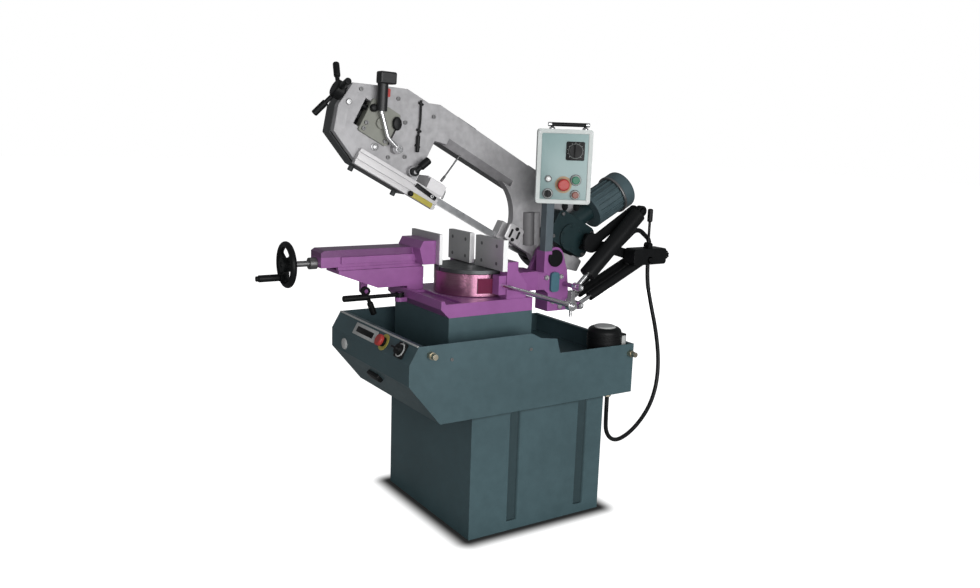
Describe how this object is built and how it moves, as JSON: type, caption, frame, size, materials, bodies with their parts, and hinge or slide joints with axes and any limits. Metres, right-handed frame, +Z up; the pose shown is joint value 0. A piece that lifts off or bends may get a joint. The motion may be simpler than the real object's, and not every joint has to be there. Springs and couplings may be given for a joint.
{
  "type": "metal cutting band saw",
  "caption": "Mitre band saw for metal on a cabinet stand: hinged bow with a geared motor and hydraulic feed, screw vise, swivelling turntable, chip tray and control box.",
  "frame": {"origin": "on the floor, under the middle of the cabinet", "axes": "+Z up, -Y towards the operator's end with the vise handwheel and console, +X towards the gearbox side"},
  "size_m": [0.884, 1.5474, 1.5582],
  "materials": {
    "cabinet_paint": "semi-gloss structure paint",
    "purple_paint": "gloss paint on castings",
    "cast_aluminium": "tumbled casting",
    "pale_metal": "machined, pale",
    "table_iron": "ground",
    "drum_iron": "turned, with a painted pad",
    "steel": "ground",
    "chrome": "plated",
    "motor_paint": "semi-gloss paint",
    "black_paint": "satin paint",
    "black_plastic": "moulded",
    "box_paint": "satin paint",
    "red_plastic": "moulded",
    "green_plastic": "moulded",
    "brown_plastic": "moulded",
    "switch_plastic": "moulded",
    "brass": "turned",
    "conduit": "smooth sheath"
  },
  "bodies": {
    "base": {"cabinet": "cabinet_paint", "tray": "cabinet_paint", "console_bezels": "black_plastic", "riser": "cabinet_paint", "bed": "purple_paint", "fixed_jaw_walls": "purple_paint", "fixed_jaw_plates": "steel", "stop_rod": "chrome", "vise_support": "purple_paint", "coolant_pump": "black_paint", "coolant_tank": "cabinet_paint", "brass_fittings": "brass", "conduit_hose": "conduit"},
    "swivel": {"swivel_arm": "drum_iron", "table_disc": "table_iron", "hinge_bracket": "purple_paint", "hinge_pin": "black_paint", "limit_switch": "switch_plastic", "control_post": "box_paint", "control_box": "box_paint", "box_handle": "black_plastic", "hose_gooseneck": "black_paint"},
    "vise": {"vise_slide": "purple_paint", "moving_jaw_plate": "steel"},
    "screw": {"vise_screw": "steel", "handwheel": "black_paint"},
    "crank": {"crank_grip": "black_plastic"},
    "bow": {"bow_casting": "cast_aluminium", "gearbox": "motor_paint", "motor": "motor_paint", "saw_band": "steel", "rear_guide": "pale_metal", "pull_handle": "black_plastic", "strut_bracket": "black_paint"},
    "cover": {"wheel_cover": "black_paint"},
    "drive": {"drive_wheel": "table_iron"},
    "tension": {"tension_block": "steel"},
    "idler": {"idler_wheel": "table_iron"},
    "tension_screw": {"tension_handle": "black_plastic"},
    "guide": {"guide_bar": "pale_metal", "front_guide": "pale_metal"},
    "lock": {"guide_lock": "black_plastic"},
    "trigger": {"trigger": "red_plastic"},
    "feed_rod": {"feed_rods": "chrome"},
    "feed_tube": {"feed_cylinder": "black_paint", "valve_block": "black_paint"},
    "valve_lever": {"valve_lever": "black_plastic"},
    "flow_knob": {"flow_knob": "black_plastic"},
    "spring_rod": {"spring_rod": "chrome"},
    "spring_tube": {"spring_sleeve": "black_paint"},
    "estop": {"estop_button": "red_plastic"},
    "main_switch": {"main_switch": "black_plastic"},
    "dial": {"speed_dial": "black_plastic"},
    "selector": {"selector_knob": "black_plastic"},
    "start": {"start_button": "green_plastic"},
    "stop": {"stop_button": "red_plastic"},
    "coolant": {"coolant_button": "brown_plastic"},
    "vise_lever": {"vise_lever": "black_paint"},
    "swivel_lever": {"swivel_lever": "black_paint"},
    "stop_head": {"stop_head": "chrome"}
  },
  "joints": [
    {"name": "mitre_swivel", "type": "hinge", "parent": "base", "child": "swivel", "pos_m": [0, -0.112, 0.797], "axis": [0, 0, 1], "range_deg": [0, 45]},
    {"name": "bow_swing", "type": "hinge", "parent": "swivel", "child": "bow", "pos_m": [0, 0.155, 0.918], "axis": [1, 0, 0], "range_deg": [0, 28]},
    {"name": "vise_travel", "type": "slide", "parent": "base", "child": "vise", "axis": [0, 1, 0], "range_m": [-0.11, 0.114]},
    {"name": "vise_screw_turn", "type": "hinge", "parent": "vise", "child": "screw", "pos_m": [-0.145, -0.64, 0.903], "axis": [0, 1, 0], "range_deg": [-7920, 8208]},
    {"name": "grip_spin", "type": "hinge", "parent": "screw", "child": "crank", "pos_m": [-0.181, -0.79, 0.855], "axis": [0, 1, 0], "continuous": true},
    {"name": "cover_hinge", "type": "hinge", "parent": "bow", "child": "cover", "pos_m": [0.0175, 0.011, 1.2862], "axis": [0, 0.8829, -0.4695], "range_deg": [0, 100]},
    {"name": "drive_spin", "type": "hinge", "parent": "bow", "child": "drive", "pos_m": [0, 0.22548, 0.9824], "axis": [1, 0, 0], "continuous": true},
    {"name": "tension_turn", "type": "hinge", "parent": "bow", "child": "tension_screw", "pos_m": [0.034, -0.64225, 1.46983], "axis": [0, 0.8829, -0.4695], "range_deg": [0, 1080]},
    {"name": "tension_travel", "type": "slide", "parent": "bow", "child": "tension", "axis": [0, 0.8829, -0.4695], "range_m": [0, 0.006]},
    {"name": "idler_spin", "type": "hinge", "parent": "tension", "child": "idler", "pos_m": [0, -0.50913, 1.373], "axis": [1, 0, 0], "continuous": true},
    {"name": "guide_slide", "type": "slide", "parent": "bow", "child": "guide", "axis": [0, 0.8829, -0.4695], "range_m": [-0.02, 0.095]},
    {"name": "guide_lock_turn", "type": "hinge", "parent": "bow", "child": "lock", "pos_m": [0.078, -0.3948, 1.22166], "axis": [1, 0, 0], "range_deg": [-40, 40]},
    {"name": "trigger_press", "type": "slide", "parent": "bow", "child": "trigger", "axis": [0, -0.9992, 0.0403], "range_m": [0, 0.005], "stiffness_N_per_m": 600, "springref_m": -0.003},
    {"name": "spring_rod_turn", "type": "hinge", "parent": "swivel", "child": "spring_rod", "pos_m": [0.205, 0.2, 0.822], "axis": [1, 0, 0], "range_deg": [0, 25.4]},
    {"name": "spring_stretch", "type": "slide", "parent": "spring_rod", "child": "spring_tube", "axis": [0, 0.7301, 0.6833], "range_m": [0, 0.0464]},
    {"name": "feed_rod_turn", "type": "hinge", "parent": "swivel", "child": "feed_rod", "pos_m": [0.205, 0.205, 0.757], "axis": [1, 0, 0], "range_deg": [0, 24.8]},
    {"name": "feed_stretch", "type": "slide", "parent": "feed_rod", "child": "feed_tube", "axis": [0, 0.9022, 0.4314], "range_m": [0, 0.0786]},
    {"name": "valve_lever_turn", "type": "hinge", "parent": "feed_tube", "child": "valve_lever", "pos_m": [0.208, 0.531, 0.96], "axis": [1, 0, 0], "range_deg": [-60, 0]},
    {"name": "flow_knob_turn", "type": "hinge", "parent": "feed_tube", "child": "flow_knob", "pos_m": [0.208, 0.613, 0.92], "axis": [0, 1, 0], "range_deg": [0, 270]},
    {"name": "estop_press", "type": "slide", "parent": "base", "child": "estop", "axis": [0, 0.8692, -0.4945], "range_m": [0, 0.005], "stiffness_N_per_m": 800, "springref_m": -0.004},
    {"name": "main_switch_turn", "type": "hinge", "parent": "base", "child": "main_switch", "pos_m": [0.217, -0.5045, 0.667], "axis": [0, -0.8692, 0.4945], "range_deg": [0, 90]},
    {"name": "dial_turn", "type": "hinge", "parent": "swivel", "child": "dial", "pos_m": [0.21982, 0.15205, 1.302], "axis": [0.8348, -0.5505, 0], "range_deg": [-135, 135]},
    {"name": "selector_turn", "type": "hinge", "parent": "swivel", "child": "selector", "pos_m": [0.17083, 0.07775, 1.154], "axis": [0.8348, -0.5505, 0], "range_deg": [-45, 45]},
    {"name": "start_press", "type": "slide", "parent": "swivel", "child": "start", "axis": [-0.8348, 0.5505, 0], "range_m": [0, 0.003], "stiffness_N_per_m": 600, "springref_m": -0.003},
    {"name": "stop_press", "type": "slide", "parent": "swivel", "child": "stop", "axis": [-0.8348, 0.5505, 0], "range_m": [0, 0.003], "stiffness_N_per_m": 600, "springref_m": -0.003},
    {"name": "coolant_press", "type": "slide", "parent": "swivel", "child": "coolant", "axis": [-0.8348, 0.5505, 0], "range_m": [0, 0.003], "stiffness_N_per_m": 600, "springref_m": -0.003},
    {"name": "vise_lever_turn", "type": "hinge", "parent": "base", "child": "vise_lever", "pos_m": [-0.145, -0.462, 0.794], "axis": [1, 0, 0], "range_deg": [-30, 20]},
    {"name": "swivel_lever_turn", "type": "hinge", "parent": "base", "child": "swivel_lever", "pos_m": [-0.06, -0.372, 0.79], "axis": [0, 0, 1], "range_deg": [-25, 25]},
    {"name": "stop_slide", "type": "slide", "parent": "base", "child": "stop_head", "axis": [1, 0, 0], "range_m": [-0.35, 0.01]}
  ],
  "couplings": [
    {"joint": "vise_travel", "follows": "vise_screw_turn", "m_per_rad": 0.00079577},
    {"joint": "tension_travel", "follows": "tension_turn", "m_per_rad": 0.00031831},
    {"joint": "idler_spin", "follows": "drive_spin", "ratio": 1},
    {"joint": "spring_rod_turn", "follows": "bow_swing", "ratio": 0.87179},
    {"joint": "spring_stretch", "follows": "bow_swing", "m_per_rad": 0.090776},
    {"joint": "feed_rod_turn", "follows": "bow_swing", "ratio": 0.851},
    {"joint": "feed_stretch", "follows": "bow_swing", "m_per_rad": 0.15673}
  ]
}
